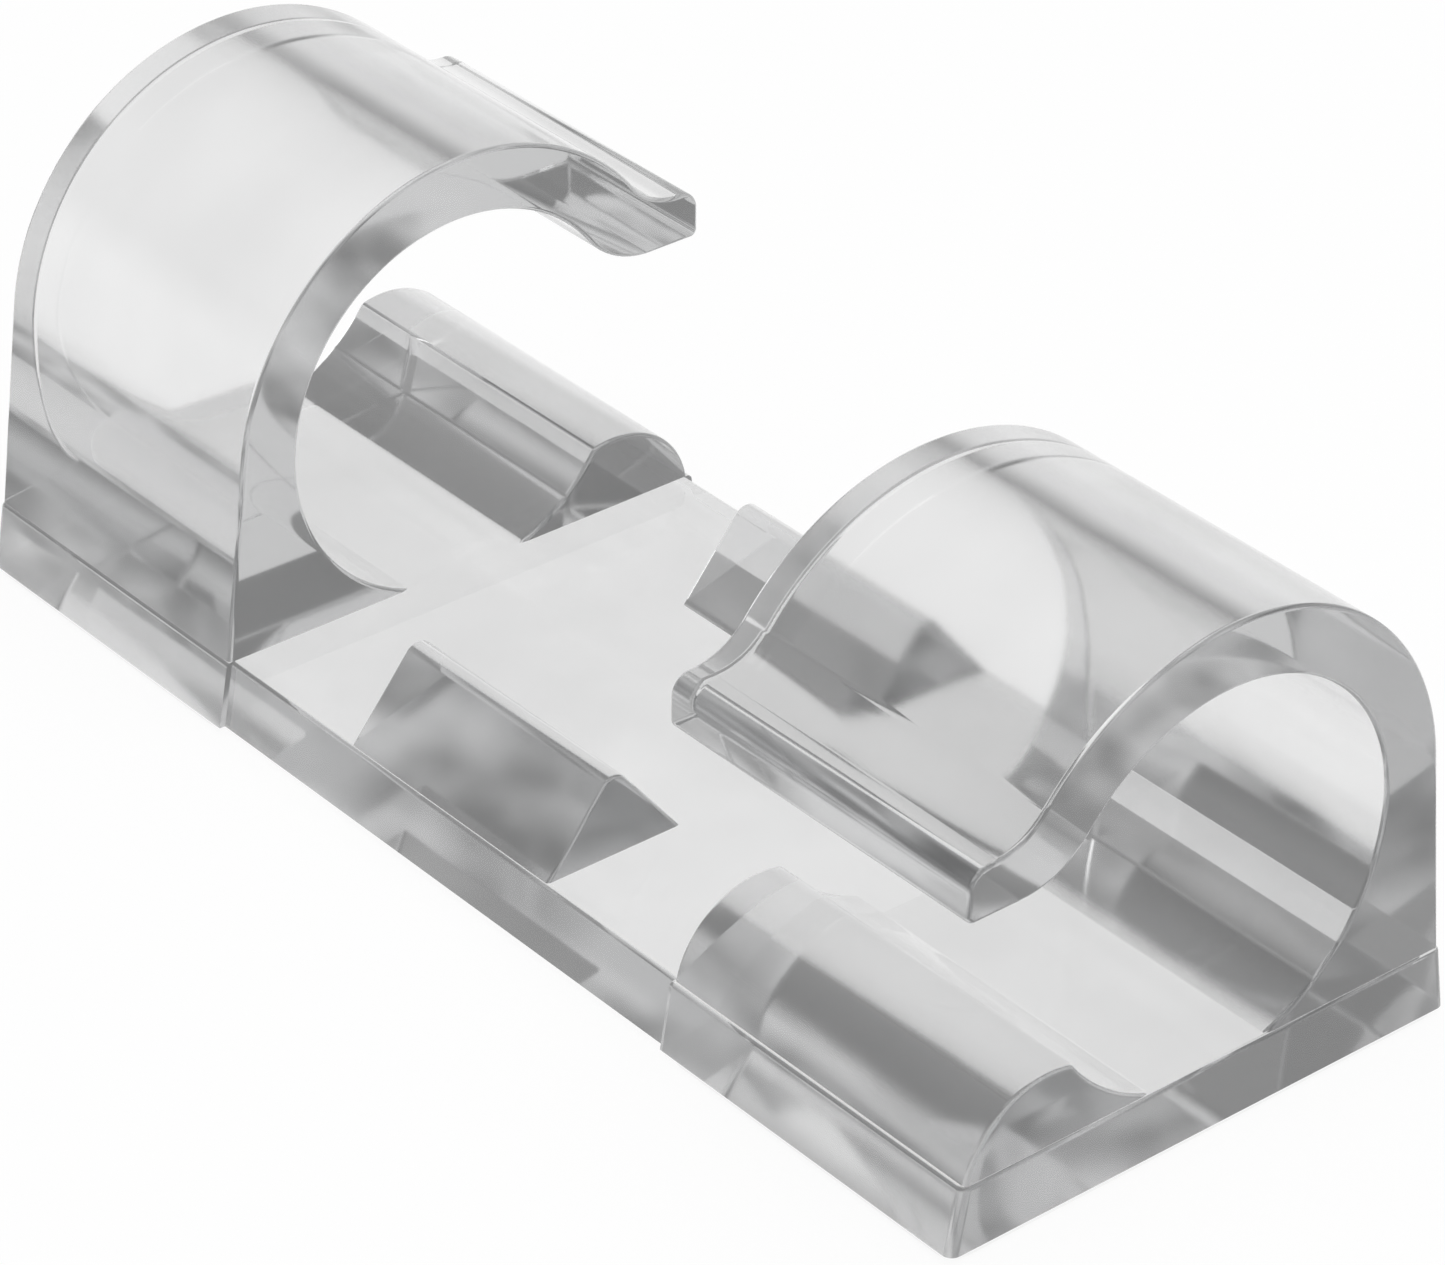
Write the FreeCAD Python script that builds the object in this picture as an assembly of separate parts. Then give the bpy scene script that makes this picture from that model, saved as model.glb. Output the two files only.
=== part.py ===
import FreeCAD, Part
import math
import os

# Self-adhesive cable clip: one clear moulded body with two open hooks that face
# opposite ways over one cable line, on a flat base with two low ridges between them.
# Two thin pads of adhesive film lie under the hooks. Units are mm. X runs along the
# cable, Y across it, Z up from the wall. The origin is the centre of the adhesive face.

# Overall base
clip_length = 25.4            # end to end along the cable
base_margin = 1.56            # from the channel's side out to the base's top edge
base_thickness = 1.21         # plastic only
base_draft_deg = 9.0          # sides of the base lean outward going down
corner_radius = 0.18          # upright corners of the base
edge_round = 0.08             # worn soft edges left by the mould

# Adhesive film under each hook
film_thickness = 0.13
film_margin = 0.06            # film stops short of the plastic all round
film_corner_radius = 0.4

# Hooks
hook_length = 6.83            # each hook, along the cable
hook_step = 0.05              # hooks stand in from the base edge by this much
bore_radius = 3.49            # the cable channel
floor_depth = 0.21            # the flat channel floor cuts this much off the round
crown_wall = 1.18             # outer radius of the hook's crown less the channel's
crown_offset_across = 0.06    # crown circle's centre, toward the mouth
crown_offset_up = -0.015      # and a hair below the channel's centre
foot_depth = 0.70             # how far the hook's profile runs down into the base

# Lip at the hook's mouth
lip_reach = 0.40              # lip's tip beyond the widest point of the crown
lip_under_rise = 1.48         # underside of the lip above the channel's centre
lip_thickness = 0.91
lip_tip_top_radius = 0.36
lip_tip_under_radius = 0.14
lip_throat_radius = 1.70      # from the lip's underside into the channel

# Low bump that closes the channel below the mouth
bump_start_deg = -35.9        # where the channel's round ends, about its centre
bump_share = 0.478            # the crest's radius as a share of the channel's
bump_inner_radius = 0.16      # small round from the channel to the crest

# Plate between the hooks, with its two ridges
plate_step = 0.11             # plate is narrower than the base under the hooks
ridge_length = 5.19
ridge_foot_width = 2.72
ridge_height = 1.66           # to the sharp apex, before rounding
ridge_apex_radius = 0.28
ridge_end_chamfer = 0.06      # worn edge round each end of a ridge
ridge_edge_gap = 0.06         # from the plate's edge to the ridge's outer foot
ridge_root = 0.16             # the ridge's section runs this far into the plate
plate_root = 0.85             # the plate runs this far into the base of each hook

# Values that follow from the ones above
base_under_z = film_thickness
base_top_z = base_under_z + base_thickness
half_width = bore_radius + base_margin
side_lean = math.tan(math.radians(base_draft_deg))
bore_z = base_top_z + bore_radius - floor_depth
crown_radius = bore_radius + crown_wall
bump_radius = bore_radius * bump_share
hook_inner_x = -clip_length / 2.0 + hook_length
hook_outer_x = -clip_length / 2.0 + hook_step


def point(y, z, x=0.0):
    """A 3-D point from across and up, at a place along the cable."""
    return FreeCAD.Vector(x, y, z)


def toward(c, p, r):
    """The point at distance r from c in the direction of p."""
    d = math.hypot(p[0] - c[0], p[1] - c[1])
    return (c[0] + (p[0] - c[0]) * r / d, c[1] + (p[1] - c[1]) * r / d)


def on_circle(c, r, deg):
    """The point on a circle at an angle counted from +Y toward +Z."""
    a = math.radians(deg)
    return (c[0] + r * math.cos(a), c[1] + r * math.sin(a))


def angle_of(c, p):
    """The angle of p about c, in degrees."""
    return math.degrees(math.atan2(p[1] - c[1], p[0] - c[0]))


def line(a, b):
    """A straight edge in the plane across the cable."""
    return Part.LineSegment(point(*a), point(*b)).toShape()


def arc(c, r, a, b, turn):
    """An arc about c from a to b; turn is 1 when the angle grows and -1 when it falls."""
    start = angle_of(c, a)
    sweep = (angle_of(c, b) - start) * turn % 360.0 * turn
    middle = on_circle(c, r, start + sweep / 2.0)
    return Part.Arc(point(*a), point(*middle), point(*b)).toShape()


def slab(top_width, x0, x1, z0, z1):
    """A plate whose long sides lean outward going down."""
    top = top_width / 2.0
    foot = top + (z1 - z0) * side_lean
    corners = [point(-foot, z0), point(foot, z0), point(top, z1), point(-top, z1)]
    face = Part.Face(Part.makePolygon(corners + corners[:1]))
    solid = face.extrude(FreeCAD.Vector(x1 - x0, 0, 0))
    solid.translate(FreeCAD.Vector(x0, 0, 0))
    return solid


def hook_profile():
    """The closed outline of one hook, rooted on the -Y side with its mouth to +Y."""
    bore_c = (0.0, bore_z)
    crown_c = (crown_offset_across, bore_z + crown_offset_up)
    low_z = base_top_z - foot_depth

    # root wall: from its foot on the base, tangent to the crown
    foot = (-half_width + hook_step, base_top_z)
    reach = math.hypot(crown_c[0] - foot[0], crown_c[1] - foot[1])
    wall_deg = angle_of(foot, crown_c) + math.degrees(math.asin(crown_radius / reach))
    crown_start = on_circle(crown_c, crown_radius, wall_deg + 90.0)
    wall_lean = math.tan(math.radians(90.0 - wall_deg))
    wall_low = (foot[0] - foot_depth * wall_lean, low_z)

    # lip: a hollow flare, tangent to the crown and level where the rounded tip begins
    lip_under_z = bore_z + lip_under_rise
    lip_top_z = lip_under_z + lip_thickness
    lip_tip_y = crown_c[0] + crown_radius + lip_reach
    tip_c = (lip_tip_y - lip_tip_top_radius, lip_top_z - lip_tip_top_radius)
    tip_start = (tip_c[0], lip_top_z)
    tip_end = (lip_tip_y, tip_c[1])
    tip_across = tip_start[0] - crown_c[0]
    tip_up = tip_start[1] - crown_c[1]
    flare_radius = (tip_across ** 2 + tip_up ** 2 - crown_radius ** 2) / (2.0 * (crown_radius - tip_up))
    flare_c = (tip_start[0], lip_top_z + flare_radius)
    flare_start = toward(crown_c, flare_c, crown_radius)
    under_c = (lip_tip_y - lip_tip_under_radius, lip_under_z + lip_tip_under_radius)
    under_start = (lip_tip_y, under_c[1])
    under_end = (under_c[0], lip_under_z)

    # throat: from the lip's underside round into the channel
    throat_z = lip_under_z + lip_throat_radius
    throat_reach = bore_radius + lip_throat_radius
    throat_y = math.sqrt(throat_reach ** 2 - (throat_z - bore_z) ** 2)
    throat_c = (throat_y, throat_z)
    throat_start = (throat_y, lip_under_z)
    throat_end = toward(bore_c, throat_c, bore_radius)

    # bump: a small round off the channel, then the crest down to the base's edge
    inner_c = on_circle(bore_c, bore_radius + bump_inner_radius, bump_start_deg)
    bump_y = half_width - hook_step - bump_radius
    bump_drop = math.sqrt((bump_radius - bump_inner_radius) ** 2 - (bump_y - inner_c[0]) ** 2)
    bump_c = (bump_y, inner_c[1] - bump_drop)
    inner_start = toward(bore_c, inner_c, bore_radius)
    inner_end = toward(bump_c, inner_c, bump_radius)
    bump_side = (bump_c[0] + bump_radius, bump_c[1])
    bump_low = (bump_side[0], low_z)

    edges = [
        line(wall_low, crown_start),
        arc(crown_c, crown_radius, crown_start, flare_start, -1),
        arc(flare_c, flare_radius, flare_start, tip_start, 1),
        arc(tip_c, lip_tip_top_radius, tip_start, tip_end, -1),
        line(tip_end, under_start),
        arc(under_c, lip_tip_under_radius, under_start, under_end, -1),
        line(under_end, throat_start),
        arc(throat_c, lip_throat_radius, throat_start, throat_end, -1),
        arc(bore_c, bore_radius, throat_end, inner_start, 1),
        arc(inner_c, bump_inner_radius, inner_start, inner_end, -1),
        arc(bump_c, bump_radius, inner_end, bump_side, -1),
        line(bump_side, bump_low),
        line(bump_low, wall_low),
    ]
    return Part.Wire(edges)


def hook():
    """One hook, extruded along the cable, with its end outlines softened."""
    face = Part.Face(hook_profile())
    solid = face.extrude(FreeCAD.Vector(hook_inner_x - hook_outer_x, 0, 0))
    solid.translate(FreeCAD.Vector(hook_outer_x, 0, 0))
    rims = []
    for edge in solid.Edges:
        box = edge.BoundBox
        if box.XLength < 1e-6 and box.ZMax > base_top_z - foot_depth + 1e-3:
            rims.append(edge)
    return solid.makeFillet(edge_round, rims)


def end_base():
    """The part of the base under one hook, its free corners and top edges rounded."""
    solid = slab(2.0 * half_width, -clip_length / 2.0, hook_inner_x, base_under_z, base_top_z)
    upright = [e for e in solid.Edges if e.BoundBox.ZLength > base_thickness / 2.0
               and e.BoundBox.XMax < -clip_length / 2.0 + 1e-6]
    solid = solid.makeFillet(corner_radius, upright)
    top = [e for e in solid.Edges if e.BoundBox.ZMin > base_top_z - 1e-6
           and e.BoundBox.XMin < hook_inner_x - 1e-3]
    return solid.makeFillet(edge_round, top)


def ridge():
    """One ridge of triangular section on the -Y side of the plate."""
    outer_y = -half_width + plate_step + ridge_edge_gap
    inner_y = outer_y + ridge_foot_width
    apex_y = (outer_y + inner_y) / 2.0
    end_x = -ridge_length / 2.0
    corners = [
        point(outer_y, base_top_z - ridge_root, end_x),
        point(outer_y, base_top_z, end_x),
        point(apex_y, base_top_z + ridge_height, end_x),
        point(inner_y, base_top_z, end_x),
        point(inner_y, base_top_z - ridge_root, end_x),
    ]
    face = Part.Face(Part.makePolygon(corners + corners[:1]))
    solid = face.extrude(FreeCAD.Vector(ridge_length, 0, 0))
    apex = [e for e in solid.Edges if e.BoundBox.ZMin > base_top_z + ridge_height - 1e-6]
    solid = solid.makeFillet(ridge_apex_radius, apex)
    ends = [e for e in solid.Edges if e.BoundBox.XLength < 1e-6
            and e.BoundBox.ZMax > base_top_z + 1e-3]
    return solid.makeChamfer(ridge_end_chamfer, ends)


def plate():
    """The narrower plate between the hooks, reaching a little into both."""
    width = 2.0 * (half_width - plate_step)
    x0 = hook_inner_x - plate_root
    solid = slab(width, x0, -x0, base_under_z, base_top_z)
    top = [e for e in solid.Edges if e.BoundBox.ZMin > base_top_z - 1e-6
           and e.BoundBox.XLength > 1e-3]
    return solid.makeFillet(edge_round, top)


def turned(solid):
    """The same piece turned half a turn about the upright axis."""
    copy = solid.copy()
    copy.rotate(FreeCAD.Vector(0, 0, 0), FreeCAD.Vector(0, 0, 1), 180)
    return copy


def clip_body():
    """The moulding: two hooks on their bases, the plate and its two ridges."""
    pieces = [end_base(), turned(end_base()), hook(), turned(hook()), ridge(), turned(ridge())]
    solid = plate()
    for piece in pieces:
        solid = solid.fuse(piece)
    return solid.removeSplitter()


def film_pad():
    """The adhesive film under one hook, a rounded sheet."""
    half_film = half_width + base_thickness * side_lean - film_margin
    x0 = -clip_length / 2.0 + film_margin
    size_x = hook_length - 2.0 * film_margin
    pad = Part.makeBox(size_x, 2.0 * half_film, film_thickness, FreeCAD.Vector(x0, -half_film, 0))
    upright = [e for e in pad.Edges if e.BoundBox.ZLength > film_thickness / 2.0]
    return pad.makeFillet(film_corner_radius, upright)


os.makedirs("parts", exist_ok=True)
nodes = {
    "clip_body": clip_body(),
    "adhesive_film_left": film_pad(),
    "adhesive_film_right": turned(film_pad()),
}
for name, shape in nodes.items():
    box = shape.BoundBox
    print(name, "solids", len(shape.Solids), "valid", shape.isValid(), "mm3", round(shape.Volume, 3),
          "box", round(box.XLength, 3), round(box.YLength, 3), round(box.ZLength, 3))
    shape.exportStep("parts/" + name + ".step")
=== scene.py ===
"""A clear self-adhesive cable clip, dressed and photographed on a white sweep.

The clip is one moulding of clear polycarbonate: two open hooks that face opposite ways
over one cable line, each on its own stretch of base, with a plate and two low ridges
between them. A thin film of clear acrylic adhesive lies under each hook.

Frame: metres, X along the cable, Y across it, Z up from the surface that the clip is
stuck to, origin at the centre of the adhesive face. The moulding is drawn in millimetres
and brought to metres when it is whole.
"""
import logging
import math
from dataclasses import dataclass, field
from enum import Enum
from typing import Any, Callable

import bpy
from mathutils import Matrix, Vector


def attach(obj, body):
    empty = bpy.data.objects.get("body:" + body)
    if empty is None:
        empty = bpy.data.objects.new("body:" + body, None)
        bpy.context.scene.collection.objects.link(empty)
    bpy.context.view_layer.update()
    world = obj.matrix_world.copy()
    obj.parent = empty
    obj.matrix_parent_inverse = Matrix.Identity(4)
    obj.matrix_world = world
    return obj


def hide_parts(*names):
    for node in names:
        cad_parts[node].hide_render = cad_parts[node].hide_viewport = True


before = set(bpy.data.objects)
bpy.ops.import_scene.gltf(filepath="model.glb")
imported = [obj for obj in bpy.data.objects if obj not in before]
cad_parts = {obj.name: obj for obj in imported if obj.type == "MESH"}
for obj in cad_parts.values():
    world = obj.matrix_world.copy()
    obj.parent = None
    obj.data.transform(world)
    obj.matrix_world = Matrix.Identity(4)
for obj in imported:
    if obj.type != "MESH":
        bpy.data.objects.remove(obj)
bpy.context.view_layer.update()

MM = 0.001
ROOT_BODY = "root"
log = logging.getLogger("cable_clip")

Spot = tuple[float, float]
Colour = tuple[float, float, float, float]

# Tolerances of the modelling, in mm
NEAR = 0.001            # places closer than this count as one
SLIVER = 0.0005         # edges shorter than this are left over from joining
CLOSING = 0.002         # an outline's last point meets its first within this

FEWEST_STEPS = 3        # segments of the shortest arc
ROUND_PROFILE = 0.5     # the bevel profile that is a true arc
SMOOTH_DEG = 32.0       # edges that turn more than this stay sharp
FACE_WEIGHT = 50        # large faces keep their own shading beside the small rounds

# The sRGB curve: where its straight foot ends, the foot's slope, its lift and its power
SRGB_KNEE = 0.04045
SRGB_SLOPE = 12.92
SRGB_LIFT = 0.055
SRGB_POWER = 2.4


def linear(hex_colour: str) -> Colour:
    """Turn an sRGB hex colour into the linear values that shaders take.

    Args:
        hex_colour: Six hex digits, with or without a leading #.

    Returns:
        Linear red, green and blue, and an alpha of 1.
    """
    digits = hex_colour.lstrip("#")
    channels = []
    for start in (0, 2, 4):
        value = int(digits[start:start + 2], 16) / 255.0
        if value <= SRGB_KNEE:
            channels.append(value / SRGB_SLOPE)
        else:
            channels.append(((value + SRGB_LIFT) / (1.0 + SRGB_LIFT)) ** SRGB_POWER)
    return (channels[0], channels[1], channels[2], 1.0)


def add_node(
    tree: bpy.types.NodeTree,
    kind: str,
    settings: dict[str, Any] | None = None,
    values: dict[str | int, Any] | None = None,
    links: dict[str | int, Any] | None = None,
) -> bpy.types.Node:
    """Add one node with its settings, its plain socket values and its incoming links.

    Args:
        tree: The node tree that takes the node.
        kind: The node's type name.
        settings: Properties set on the node itself.
        values: Plain values by input name or number.
        links: Output sockets by the input name or number that they feed.

    Returns:
        The new node.
    """
    node = tree.nodes.new(kind)
    for name, value in (settings or {}).items():
        setattr(node, name, value)
    for name, value in (values or {}).items():
        node.inputs[name].default_value = value
    for name, source in (links or {}).items():
        tree.links.new(source, node.inputs[name])
    return node


def bare_material(name: str, glows: bool = False) -> bpy.types.Material:
    """Start a material with an empty node tree.

    Args:
        name: The material's name.
        glows: Whether the material will give off light of its own.

    Returns:
        The material.
    """
    material = bpy.data.materials.new(name)
    if glows:
        # Light paths meet the glow by chance: aiming them at it takes longer and looks the same
        material.cycles.emission_sampling = "NONE"
    material.use_nodes = True
    material.node_tree.nodes.clear()
    return material


def clear_hands() -> None:
    """Leave edit mode and deselect everything."""
    if bpy.context.object and bpy.context.object.mode != "OBJECT":
        bpy.ops.object.mode_set(mode="OBJECT")
    bpy.ops.object.select_all(action="DESELECT")


def only(piece: bpy.types.Object) -> None:
    """Make one object the active and only selected one, out of edit mode.

    Args:
        piece: The object.
    """
    clear_hands()
    piece.select_set(True)
    bpy.context.view_layer.objects.active = piece


def open_whole(piece: bpy.types.Object) -> None:
    """Enter edit mode on one object with all of its mesh selected.

    Args:
        piece: The mesh object.
    """
    only(piece)
    bpy.ops.object.mode_set(mode="EDIT")
    bpy.ops.mesh.select_all(action="SELECT")


def pick_edges(piece: bpy.types.Object, wanted: Callable[[Vector, Vector], bool]) -> None:
    """Select the edges whose two ends pass a test, and enter edit mode on them.

    Args:
        piece: The mesh object.
        wanted: Says whether an edge is picked, from its two ends.
    """
    only(piece)
    bpy.context.tool_settings.mesh_select_mode = (False, True, False)
    mesh = piece.data
    for part in (mesh.vertices, mesh.edges, mesh.polygons):
        part.foreach_set("select", [False] * len(part))
    for edge in mesh.edges:
        a, b = (mesh.vertices[i].co for i in edge.vertices)
        edge.select = wanted(a, b)
    bpy.ops.object.mode_set(mode="EDIT")


def apply_modifier(piece: bpy.types.Object, kind: str, **settings: Any) -> None:
    """Add a modifier to a piece and apply it at once.

    Args:
        piece: The mesh object.
        kind: The modifier's type name.
        **settings: Properties of the modifier.
    """
    only(piece)
    bpy.ops.object.modifier_add(type=kind)
    modifier = piece.modifiers[-1]
    for name, value in settings.items():
        setattr(modifier, name, value)
    bpy.ops.object.modifier_apply(modifier=modifier.name)


def fuse(body: bpy.types.Object, tool: bpy.types.Object) -> None:
    """Join one closed piece into another, leaving a single outer skin."""
    apply_modifier(body, "BOOLEAN", operation="UNION", solver="EXACT", object=tool)
    bpy.data.objects.remove(tool)


def turned_copy(piece: bpy.types.Object, name: str) -> bpy.types.Object:
    """Copy a piece, with its own mesh, half a turn round about the upright axis.

    Args:
        piece: The piece that is copied.
        name: The name of the copy.

    Returns:
        The copy, its place in its mesh.
    """
    only(piece)
    bpy.ops.object.duplicate()
    copy = bpy.context.object
    copy.name = name
    open_whole(copy)
    bpy.ops.transform.rotate(value=math.pi, orient_axis="Z", center_override=(0.0, 0.0, 0.0))
    bpy.ops.object.mode_set(mode="OBJECT")
    return copy


def weld(piece: bpy.types.Object) -> None:
    """Merge the coincident vertices and flat slivers that joining leaves.

    Args:
        piece: The mesh object, still in mm.
    """
    open_whole(piece)
    bpy.ops.mesh.remove_doubles(threshold=SLIVER)
    bpy.ops.mesh.dissolve_degenerate(threshold=SLIVER)
    bpy.ops.object.mode_set(mode="OBJECT")


def to_metres(piece: bpy.types.Object) -> None:
    """Bring a piece that was drawn in mm down to metres, about the origin.

    Args:
        piece: The mesh object.
    """
    open_whole(piece)
    bpy.ops.transform.resize(value=(MM, MM, MM), center_override=(0.0, 0.0, 0.0))
    bpy.ops.object.mode_set(mode="OBJECT")


def bearing(centre: Spot, spot: Spot) -> float:
    """The angle of a point about a centre, in degrees from +Y toward +Z."""
    return math.degrees(math.atan2(spot[1] - centre[1], spot[0] - centre[0]))


def on_circle(centre: Spot, radius: float, deg: float) -> Spot:
    """The point on a circle at an angle counted from +Y toward +Z."""
    angle = math.radians(deg)
    return (centre[0] + radius * math.cos(angle), centre[1] + radius * math.sin(angle))


def toward(centre: Spot, spot: Spot, radius: float) -> Spot:
    """The point at a distance from a centre, in the direction of another point."""
    return on_circle(centre, radius, bearing(centre, spot))


class ProfilePen:
    """Draws a closed outline across the cable and pulls it into a bar. Sizes in mm."""

    def __init__(self, name: str, x: float, start: Spot, step_deg: float) -> None:
        """Put down the first vertex.

        Args:
            name: The object's name.
            x: Where along the cable the outline stands.
            start: The first point, across and up.
            step_deg: The widest angle that one segment of an arc may take.
        """
        clear_hands()
        bpy.ops.mesh.primitive_plane_add(size=1.0, location=(0.0, 0.0, 0.0))
        self.piece = bpy.context.object
        self.piece.name = name
        self.piece.data.name = name
        self.x = x
        self.at = start
        self.step_deg = step_deg
        bpy.ops.object.mode_set(mode="EDIT")
        bpy.ops.mesh.select_mode(type="VERT")
        bpy.ops.mesh.merge(type="CENTER")
        bpy.ops.transform.translate(value=(x, start[0], start[1]))

    def line_to(self, end: Spot) -> None:
        """Draw a straight edge.

        Args:
            end: Where it ends.
        """
        move = (0.0, end[0] - self.at[0], end[1] - self.at[1])
        bpy.ops.mesh.extrude_vertices_move(TRANSFORM_OT_translate={"value": move})
        self.at = end

    def arc_to(self, centre: Spot, end: Spot, turn: int) -> None:
        """Draw an arc.

        Args:
            centre: The arc's centre.
            end: Where it ends.
            turn: 1 where the angle from +Y toward +Z grows, -1 where it falls.
        """
        start_deg = bearing(centre, self.at)
        sweep = (bearing(centre, end) - start_deg) * turn % 360.0 * turn
        steps = max(FEWEST_STEPS, math.ceil(abs(sweep) / self.step_deg))
        hub = (self.x, centre[0], centre[1])
        # Spin counts its angle the other way about the axis
        bpy.ops.mesh.spin(
            steps=steps, angle=-math.radians(sweep), center=hub, axis=(1.0, 0.0, 0.0))
        self.at = end

    def pull(self, length: float) -> bpy.types.Object:
        """Close the outline, fill it and pull it along the cable into a closed bar.

        Args:
            length: How far.

        Returns:
            The bar, in object mode.
        """
        bpy.ops.mesh.select_all(action="SELECT")
        bpy.ops.mesh.remove_doubles(threshold=CLOSING)
        bpy.ops.mesh.edge_face_add()
        bpy.ops.mesh.extrude_region_move(TRANSFORM_OT_translate={"value": (length, 0.0, 0.0)})
        bpy.ops.mesh.select_all(action="SELECT")
        bpy.ops.mesh.normals_make_consistent(inside=False)
        bpy.ops.object.mode_set(mode="OBJECT")
        return self.piece


@dataclass(frozen=True)
class MouldedPolycarbonate:
    """Clear polycarbonate as it leaves a polished mould.

    To the eye it is glass-clear, and grey where light has come a long way through it. It
    has a little haze from the mould's skin, faint clouds from the flow of the melt, and
    soft swells where the melt shrank, which bend what shows through.

    Past two inner reflections the plastic shows a painted glow: it gives off a soft
    clouded grey light of its own, in place of the light that the renderer stops following
    after a few turns, which would leave black patches that real plastic doesn't have.
    """

    name: str = "clear_polycarbonate_moulded"
    tint_dim: str = "#f2f2f2"
    tint_bright: str = "#fafafa"
    cloud_size: float = 3.0           # mm across one faint cloud
    cloud_detail: float = 2.0
    cloud_edges: Spot = (0.35, 0.65)  # the noise levels of the thickest haze and of none
    depth_tint: str = "#b4b5b6"
    depth_density: float = 118.0      # per metre
    # Painted glow: the grey light of its own that the plastic gives off past its inner
    # reflections
    painted_glow_dim: str = "#a0a0a0"
    painted_glow_bright: str = "#fcfcfc"
    painted_glow_after: float = 2.5           # inner reflections
    ior: float = 1.49                 # matched to the picture: typical polycarbonate has 1.58
    roughness: float = 0.075
    sink_size: float = 3.2            # mm across one swell
    sink_height: float = 0.012        # mm
    sink_detail: float = 1.5
    sink_fineness: float = 0.4

    def make(self) -> bpy.types.Material:
        """Build the material.

        Returns:
            The material, with its surface and its depth.
        """
        material = bare_material(self.name, glows=True)
        tree = material.node_tree
        place = add_node(tree, "ShaderNodeTexCoord")
        swell = add_node(
            tree, "ShaderNodeTexNoise",
            values={"Scale": 1.0 / (self.sink_size * MM), "Detail": self.sink_detail,
                    "Roughness": self.sink_fineness},
            links={"Vector": place.outputs["Object"]})
        bump = add_node(
            tree, "ShaderNodeBump",
            values={"Strength": 1.0, "Distance": self.sink_height * MM},
            links={"Height": swell.outputs["Fac"]})
        cloud = add_node(
            tree, "ShaderNodeTexNoise",
            values={"Scale": 1.0 / (self.cloud_size * MM), "Detail": self.cloud_detail},
            links={"Vector": place.outputs["Object"]})
        skin = add_node(
            tree, "ShaderNodeBsdfPrincipled",
            values={"Roughness": self.roughness, "IOR": self.ior, "Transmission Weight": 1.0},
            links={"Base Color": self.clouded(tree, cloud, self.tint_dim, self.tint_bright),
                   "Normal": bump.outputs["Normal"]})
        depth = add_node(
            tree, "ShaderNodeVolumeAbsorption",
            values={"Color": linear(self.depth_tint), "Density": self.depth_density})
        # Painted glow: past the inner reflections the surface gives off clouded grey light
        # instead of acting as plastic
        rays = add_node(tree, "ShaderNodeLightPath")
        deep = add_node(
            tree, "ShaderNodeMath", settings={"operation": "GREATER_THAN"},
            values={1: self.painted_glow_after}, links={0: rays.outputs["Glossy Depth"]})
        glow = add_node(
            tree, "ShaderNodeEmission",
            links={"Color": self.clouded(tree, cloud, self.painted_glow_dim, self.painted_glow_bright)})
        mix = add_node(
            tree, "ShaderNodeMixShader",
            links={0: deep.outputs[0], 1: skin.outputs[0], 2: glow.outputs[0]})
        add_node(
            tree, "ShaderNodeOutputMaterial",
            links={"Surface": mix.outputs[0], "Volume": depth.outputs[0]})
        return material

    def clouded(
        self, tree: bpy.types.NodeTree, cloud: bpy.types.Node, dim: str, bright: str,
    ) -> bpy.types.NodeSocket:
        """Grade a colour over the haze clouds.

        Args:
            tree: The material's node tree.
            cloud: The noise that makes the clouds.
            dim: The hex colour where the haze is thickest.
            bright: The hex colour where there is none.

        Returns:
            The colour's output socket.
        """
        grade = add_node(tree, "ShaderNodeValToRGB", links={0: cloud.outputs["Fac"]})
        stops = grade.color_ramp.elements
        for stop, level, colour in zip(stops, self.cloud_edges, (dim, bright)):
            stop.position = level
            stop.color = linear(colour)
        return grade.outputs["Color"]


@dataclass(frozen=True)
class AcrylicFilm:
    """Clear double-sided acrylic film, cast and slit.

    To the eye it is a thin pale line, a little hazy and rippled on its open adhesive face.
    It is bonded to the plastic, so light hardly turns between the two, and its index is
    counted from the plastic's.
    """

    name: str = "clear_acrylic_adhesive_film"
    tint: str = "#fafafa"
    ior: float = 1.01
    roughness: float = 0.05
    ripple_size: float = 0.8          # mm across one ripple, drawn coarse so that it shows
    ripple_height: float = 0.002      # mm
    ripple_detail: float = 2.0

    def make(self) -> bpy.types.Material:
        """Build the material.

        Returns:
            The material.
        """
        material = bare_material(self.name)
        tree = material.node_tree
        place = add_node(tree, "ShaderNodeTexCoord")
        ripple = add_node(
            tree, "ShaderNodeTexNoise",
            values={"Scale": 1.0 / (self.ripple_size * MM), "Detail": self.ripple_detail},
            links={"Vector": place.outputs["Object"]})
        bump = add_node(
            tree, "ShaderNodeBump",
            values={"Strength": 1.0, "Distance": self.ripple_height * MM},
            links={"Height": ripple.outputs["Fac"]})
        skin = add_node(
            tree, "ShaderNodeBsdfPrincipled",
            values={"Base Color": linear(self.tint), "Roughness": self.roughness,
                    "IOR": self.ior, "Transmission Weight": 1.0},
            links={"Normal": bump.outputs["Normal"]})
        add_node(tree, "ShaderNodeOutputMaterial", links={"Surface": skin.outputs[0]})
        return material


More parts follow.
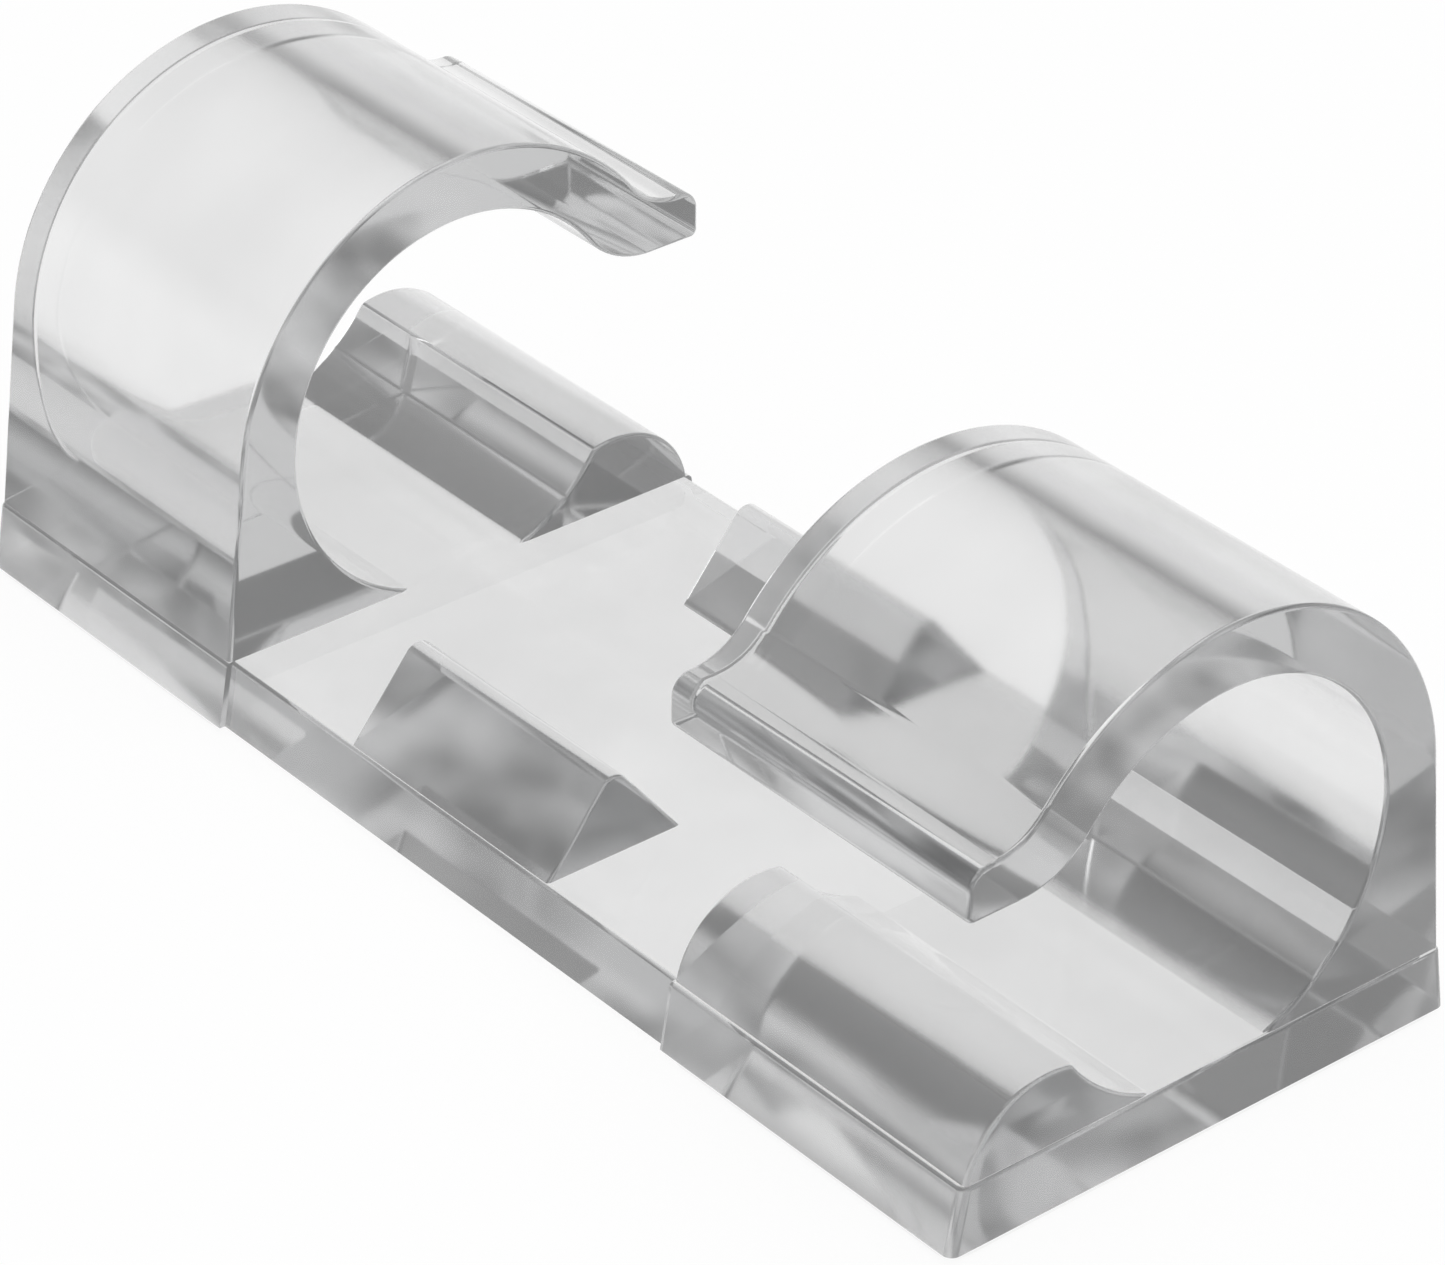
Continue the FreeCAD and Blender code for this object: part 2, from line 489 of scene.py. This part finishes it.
@dataclass(frozen=True)
class WhiteSweep:
    """Matt white paper that shows a faint shadow of the clip.

    It is white to the camera and to what the plastic mirrors and lets through, and plain
    pale paper to the light that bounces between it and the clip.
    """

    name: str = "white_paper_sweep"
    colour: str = "#f4f4f4"
    white: str = "#ffffff"
    shade: float = 0.08               # how much of the clip's shadow shows
    lit_level: float = 0.90           # how bright the soft box and the room make open paper

    def make(self) -> bpy.types.Material:
        """Build the material.

        Returns:
            The material.
        """
        material = bare_material(self.name, glows=True)
        tree = material.node_tree
        rays = add_node(tree, "ShaderNodeLightPath")
        seen = add_node(
            tree, "ShaderNodeMath", settings={"operation": "MAXIMUM"},
            links={0: rays.outputs["Is Camera Ray"], 1: rays.outputs["Is Glossy Ray"]})
        seen_or_through = add_node(
            tree, "ShaderNodeMath", settings={"operation": "MAXIMUM"},
            links={0: seen.outputs[0], 1: rays.outputs["Is Transmission Ray"]})
        paper = add_node(
            tree, "ShaderNodeBsdfDiffuse", values={"Color": linear(self.colour)})
        faint = add_node(
            tree, "ShaderNodeBsdfDiffuse",
            values={"Color": (self.shade, self.shade, self.shade, 1.0)})
        lift = add_node(
            tree, "ShaderNodeEmission",
            values={"Color": linear(self.white),
                    "Strength": 1.0 - self.shade * self.lit_level})
        shown = add_node(
            tree, "ShaderNodeAddShader", links={0: faint.outputs[0], 1: lift.outputs[0]})
        mix = add_node(
            tree, "ShaderNodeMixShader",
            links={0: seen_or_through.outputs[0], 1: paper.outputs[0], 2: shown.outputs[0]})
        add_node(tree, "ShaderNodeOutputMaterial", links={"Surface": mix.outputs[0]})
        return material


class Side(Enum):
    """The two ends of the clip along the cable."""

    LEFT = "left"
    RIGHT = "right"


@dataclass
class HookSection:
    """The outline of a hook across the cable, as runs of tangent arcs. Sizes in mm.

    The wall leaves the base as a flat heel and runs over the channel as a crown. It
    flares to a rounded lip over the mouth, and below the mouth the base rises as a bump.
    """

    bore_radius: float = 3.49
    bore_z: float = 4.62              # height of the channel's centre
    half_width: float = 5.05          # of the base's top face
    step: float = 0.05                # how far the hook stands in from the base's edges
    base_top: float = 1.34
    foot_depth: float = 0.70          # how deep the hook is rooted in the base
    crown_wall: float = 1.18
    crown_across: float = 0.06        # the crown's centre, counted from the channel's
    crown_up: float = -0.015
    lip_reach: float = 0.40           # how far the lip stands out past the crown
    lip_under: float = 1.48           # height of its underside over the channel's centre
    lip_thickness: float = 0.91
    lip_top_radius: float = 0.36
    lip_under_radius: float = 0.14
    throat_radius: float = 1.70       # of the turn from the channel to the lip's underside
    bump_start_deg: float = -35.9     # where the channel ends and the bump begins
    bump_radius: float = 1.668
    bump_inner_radius: float = 0.16   # of the turn from the channel to the bump
    arc_step_deg: float = 2.5         # the widest angle of one segment of an arc

    def draw(self, name: str, x: float, length: float) -> bpy.types.Object:
        """Draw the outline and pull it into a bar.

        Args:
            name: The object's name.
            x: The outline's place along the cable.
            length: The bar's length.

        Returns:
            The bar.
        """
        bore = (0.0, self.bore_z)
        crown = (self.crown_across, self.bore_z + self.crown_up)
        crown_radius = self.bore_radius + self.crown_wall
        low = self.base_top - self.foot_depth
        foot = (self.step - self.half_width, self.base_top)
        reach = math.hypot(crown[0] - foot[0], crown[1] - foot[1])
        wall_deg = bearing(foot, crown) + math.degrees(math.asin(crown_radius / reach))
        wall_top = on_circle(crown, crown_radius, wall_deg + 90.0)
        wall_low = (foot[0] - self.foot_depth * math.tan(math.radians(90.0 - wall_deg)), low)

        lip_low = self.bore_z + self.lip_under
        lip_top = lip_low + self.lip_thickness
        tip_y = crown[0] + crown_radius + self.lip_reach
        tip = (tip_y - self.lip_top_radius, lip_top - self.lip_top_radius)
        across = tip[0] - crown[0]
        up = lip_top - crown[1]
        flare_radius = (across ** 2 + up ** 2 - crown_radius ** 2) / (2.0 * (crown_radius - up))
        flare = (tip[0], lip_top + flare_radius)
        under = (tip_y - self.lip_under_radius, lip_low + self.lip_under_radius)
        throat_up = self.lip_under + self.throat_radius
        throat_y = math.sqrt((self.bore_radius + self.throat_radius) ** 2 - throat_up ** 2)
        throat = (throat_y, self.bore_z + throat_up)

        inner = on_circle(bore, self.bore_radius + self.bump_inner_radius, self.bump_start_deg)
        bump_y = self.half_width - self.step - self.bump_radius
        bump_gap = self.bump_radius - self.bump_inner_radius
        drop = math.sqrt(bump_gap ** 2 - (bump_y - inner[0]) ** 2)
        bump = (bump_y, inner[1] - drop)

        pen = ProfilePen(name, x, wall_low, self.arc_step_deg)
        pen.line_to(wall_top)
        pen.arc_to(crown, toward(crown, flare, crown_radius), -1)
        pen.arc_to(flare, (tip[0], lip_top), 1)
        pen.arc_to(tip, (tip_y, tip[1]), -1)
        pen.line_to((tip_y, under[1]))
        pen.arc_to(under, (under[0], lip_low), -1)
        pen.line_to((throat_y, lip_low))
        pen.arc_to(throat, toward(bore, throat, self.bore_radius), -1)
        pen.arc_to(bore, toward(bore, inner, self.bore_radius), 1)
        pen.arc_to(inner, toward(bump, inner, self.bump_radius), -1)
        pen.arc_to(bump, (bump[0] + self.bump_radius, bump[1]), -1)
        pen.line_to((bump[0] + self.bump_radius, low))
        pen.line_to(wall_low)
        return pen.pull(length)


@dataclass
class ClipBody:
    """The moulding: two bases with their hooks, the plate and its two ridges. Sizes in mm."""

    length: float = 25.4
    base_under: float = 0.13          # height of its underside, on top of the films
    base_thickness: float = 1.21
    draft_deg: float = 9.0            # how far the long sides lean out going down
    corner_radius: float = 0.18
    corner_segments: int = 6
    edge_round: float = 0.08
    edge_segments: int = 4
    hook_length: float = 6.83         # from the clip's end to the hook's inner face
    plate_step: float = 0.11          # how far the plate stands in from the bases' edges
    plate_root: float = 0.85          # how far it reaches into both bases
    ridge_length: float = 5.19
    ridge_foot: float = 2.72
    ridge_height: float = 1.66
    ridge_apex_radius: float = 0.28
    ridge_apex_step_deg: float = 6.0
    ridge_gap: float = 0.06           # from the plate's edge
    ridge_root: float = 0.16          # how deep it is rooted in the plate
    ridge_chamfer: float = 0.06
    ridge_segments: int = 3
    section: HookSection = field(default_factory=HookSection)
    finish: MouldedPolycarbonate = field(default_factory=MouldedPolycarbonate)

    @property
    def top(self) -> float:
        """Height of the base's top face."""
        return self.base_under + self.base_thickness

    @property
    def inner_x(self) -> float:
        """Where the left hook and its base end, toward the middle."""
        return self.hook_length - self.length / 2.0

    def slab(self, name: str, half_width: float, x0: float, x1: float) -> bpy.types.Object:
        """Draw a stretch of base whose long sides lean outward going down.

        Args:
            name: The object's name.
            half_width: Half the width of its top face.
            x0: Where it begins along the cable.
            x1: Where it ends.

        Returns:
            The closed slab.
        """
        foot = half_width + self.base_thickness * math.tan(math.radians(self.draft_deg))
        pen = ProfilePen(name, x0, (-foot, self.base_under), self.section.arc_step_deg)
        pen.line_to((foot, self.base_under))
        pen.line_to((half_width, self.top))
        pen.line_to((-half_width, self.top))
        pen.line_to((-foot, self.base_under))
        return pen.pull(x1 - x0)

    def bevel(self, offset: float, segments: int) -> None:
        """Round the picked edges and leave edit mode."""
        bpy.ops.mesh.bevel(
            offset=offset, offset_type="OFFSET", segments=segments, profile=ROUND_PROFILE,
            affect="EDGES", clamp_overlap=False)
        bpy.ops.object.mode_set(mode="OBJECT")

    def end_base(self) -> bpy.types.Object:
        """Build the base under the left hook, its free corners and top edges rounded.

        Returns:
            The base.
        """
        end = -self.length / 2.0
        piece = self.slab("end_base", self.section.half_width, end, self.inner_x)
        upright = self.base_thickness / 2.0
        pick_edges(
            piece, lambda a, b: abs(a.z - b.z) > upright and max(a.x, b.x) < end + NEAR)
        self.bevel(self.corner_radius, self.corner_segments)
        rim = self.top - NEAR
        inner = self.inner_x - NEAR
        pick_edges(piece, lambda a, b: min(a.z, b.z) > rim and min(a.x, b.x) < inner)
        self.bevel(self.edge_round, self.edge_segments)
        return piece

    def hook(self) -> bpy.types.Object:
        """Build the left hook, rooted on the -Y side, with its end outlines softened.

        Returns:
            The hook, down to its root in the base.
        """
        start = self.section.step - self.length / 2.0
        piece = self.section.draw("hook", start, self.inner_x - start)
        low = self.section.base_top - self.section.foot_depth + NEAR
        pick_edges(piece, lambda a, b: abs(a.x - b.x) < NEAR and max(a.z, b.z) > low)
        self.bevel(self.edge_round, self.edge_segments)
        return piece

    def ridge(self) -> bpy.types.Object:
        """Build the ridge of triangular section on the -Y side of the plate.

        Returns:
            The ridge, down to its root in the plate.
        """
        outer = -self.section.half_width + self.plate_step + self.ridge_gap
        inner = outer + self.ridge_foot
        apex = (outer + self.ridge_foot / 2.0, self.top + self.ridge_height)
        slope_deg = math.degrees(math.atan2(self.ridge_height, self.ridge_foot / 2.0))
        hub = (apex[0], apex[1] - self.ridge_apex_radius / math.cos(math.radians(slope_deg)))
        pen = ProfilePen(
            "ridge", -self.ridge_length / 2.0, (outer, self.top), self.ridge_apex_step_deg)
        pen.line_to(on_circle(hub, self.ridge_apex_radius, 90.0 + slope_deg))
        pen.arc_to(hub, on_circle(hub, self.ridge_apex_radius, 90.0 - slope_deg), -1)
        pen.line_to((inner, self.top))
        pen.line_to((inner, self.top - self.ridge_root))
        pen.line_to((outer, self.top - self.ridge_root))
        pen.line_to((outer, self.top))
        piece = pen.pull(self.ridge_length)
        foot = self.top + NEAR
        pick_edges(piece, lambda a, b: abs(a.x - b.x) < NEAR and max(a.z, b.z) > foot)
        self.bevel(self.ridge_chamfer, self.ridge_segments)
        return piece

    def plate(self) -> bpy.types.Object:
        """Build the narrower plate between the hooks, reaching a little into both bases.

        Returns:
            The plate.
        """
        start = self.inner_x - self.plate_root
        piece = self.slab("plate", self.section.half_width - self.plate_step, start, -start)
        rim = self.top - NEAR
        pick_edges(piece, lambda a, b: min(a.z, b.z) > rim and abs(a.x - b.x) > NEAR)
        self.bevel(self.edge_round, self.edge_segments)
        return piece

    def build(self) -> bpy.types.Object:
        """Build every part of the moulding and join them into one skin.

        Returns:
            The finished piece.
        """
        body = self.plate()
        body.name = "clip_moulding"
        body.data.name = "clip_moulding"
        end = self.end_base()
        fuse(end, self.hook())
        for part in (self.ridge(), end):
            fuse(body, turned_copy(part, part.name + "_turned"))
            fuse(body, part)
        weld(body)
        to_metres(body)
        bpy.ops.object.shade_smooth_by_angle(angle=math.radians(SMOOTH_DEG))
        apply_modifier(body, "WEIGHTED_NORMAL", keep_sharp=True, weight=FACE_WEIGHT)
        return body

    def dress(self, body: bpy.types.Object) -> None:
        """Give the moulding its finish and put it in the CAD body's place.

        Args:
            body: The finished moulding.
        """
        body.data.materials.clear()
        body.data.materials.append(self.finish.make())
        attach(body, ROOT_BODY)
        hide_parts("clip_body")


@dataclass
class AdhesiveFilms:
    """The films under the two hooks, which keep the CAD meshes."""

    finish: AcrylicFilm = field(default_factory=AcrylicFilm)

    def dress(self) -> list[bpy.types.Object]:
        """Give both films one finish.

        Returns:
            The films.
        """
        material = self.finish.make()
        films = [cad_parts["adhesive_film_" + side.value] for side in Side]
        for film in films:
            film.data.materials.clear()
            film.data.materials.append(material)
        return films


@dataclass
class Camera:
    """The camera that took the picture. Place in mm, angles in degrees.

    Its place and angles were solved together with the clip's proportions, from points
    measured in the picture.
    """

    place: tuple[float, float, float] = (64.115, -53.462, 55.314)
    azimuth: float = 49.7216
    elevation: float = 32.1251
    roll: float = 0.9759
    focal_px: float = 5980.3
    frame_px: int = 1445
    sensor: float = 36.0
    nearest: float = 1.0
    farthest: float = 10000.0

    def build(self) -> None:
        """Place the camera and make it the scene's."""
        az = math.radians(self.azimuth)
        el = math.radians(self.elevation)
        roll = math.radians(self.roll)
        back = Vector((math.sin(az) * math.cos(el), -math.cos(az) * math.cos(el), math.sin(el)))
        right = Vector((math.cos(az), math.sin(az), 0.0))
        up = back.cross(right)
        x_axis = right * math.cos(roll) + up * math.sin(roll)
        y_axis = up * math.cos(roll) - right * math.sin(roll)
        data = bpy.data.cameras.new("camera")
        data.sensor_fit = "HORIZONTAL"
        data.sensor_width = self.sensor
        data.lens = self.focal_px / self.frame_px * self.sensor
        data.clip_start = self.nearest * MM
        data.clip_end = self.farthest * MM
        camera = bpy.data.objects.new("camera", data)
        bpy.context.scene.collection.objects.link(camera)
        turn = Matrix((x_axis, y_axis, back)).transposed().to_4x4()
        camera.matrix_world = Matrix.Translation(Vector(self.place) * MM) @ turn
        bpy.context.scene.camera = camera


@dataclass
class Studio:
    """White sweep, one large soft box overhead, and a room whose white walls turn grey above.

    Sizes in mm. The room's levels are heights on a globe: 0 at the horizon, 1 overhead.
    """

    sweep_size: float = 400.0
    sweep_drop: float = 0.02          # keeps the sweep clear of the films' undersides
    sweep: WhiteSweep = field(default_factory=WhiteSweep)
    lamp_size: float = 300.0
    lamp_place: tuple[float, float, float] = (50.0, 20.0, 320.0)
    lamp_power: float = 0.48          # watts, for a plain level on white at this distance
    room_low: str = "#ffffff"
    room_middle: str = "#8e8e8e"
    room_high: str = "#c4c4c4"
    low_level: float = 0.10
    middle_level: float = 0.32
    high_level: float = 1.0

    def build(self) -> None:
        """Lay the sweep, hang the lamp and colour the room."""
        clear_hands()
        bpy.ops.mesh.primitive_plane_add(
            size=self.sweep_size * MM, location=(0.0, 0.0, -self.sweep_drop * MM))
        floor = bpy.context.object
        floor.name = "sweep"
        floor.data.materials.append(self.sweep.make())
        self.lamp()
        self.room()

    def lamp(self) -> None:
        """Hang one square soft box above the clip, facing down."""
        data = bpy.data.lights.new("soft_box", "AREA")
        data.size = self.lamp_size * MM
        data.energy = self.lamp_power
        lamp = bpy.data.objects.new("soft_box", data)
        bpy.context.scene.collection.objects.link(lamp)
        lamp.location = tuple(value * MM for value in self.lamp_place)

    def room(self) -> None:
        """Grade the room from the foot of its walls up."""
        world = bpy.data.worlds.new("room")
        bpy.context.scene.world = world
        world.use_nodes = True
        tree = world.node_tree
        tree.nodes.clear()
        place = add_node(tree, "ShaderNodeTexCoord")
        split = add_node(
            tree, "ShaderNodeSeparateXYZ", links={0: place.outputs["Generated"]})
        grade = add_node(tree, "ShaderNodeValToRGB", links={0: split.outputs["Z"]})
        stops = grade.color_ramp.elements
        stops[0].position = self.low_level
        stops[0].color = linear(self.room_low)
        stops[1].position = self.middle_level
        stops[1].color = linear(self.room_middle)
        stops.new(self.high_level).color = linear(self.room_high)
        walls = add_node(
            tree, "ShaderNodeBackground",
            values={"Strength": 1.0}, links={0: grade.outputs[0]})
        add_node(tree, "ShaderNodeOutputWorld", links={0: walls.outputs[0]})


def main() -> None:
    """Build the studio and the clip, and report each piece."""
    logging.basicConfig(level=logging.INFO, format="%(name)s: %(message)s")
    bpy.context.scene.view_settings.view_transform = "Standard"
    Camera().build()
    Studio().build()
    clip = ClipBody()
    body = clip.build()
    clip.dress(body)
    log.info("%s: %d faces", body.name, len(body.data.polygons))
    for film in AdhesiveFilms().dress():
        log.info("%s: %d faces", film.name, len(film.data.polygons))


if __name__ == "__main__":
    main()
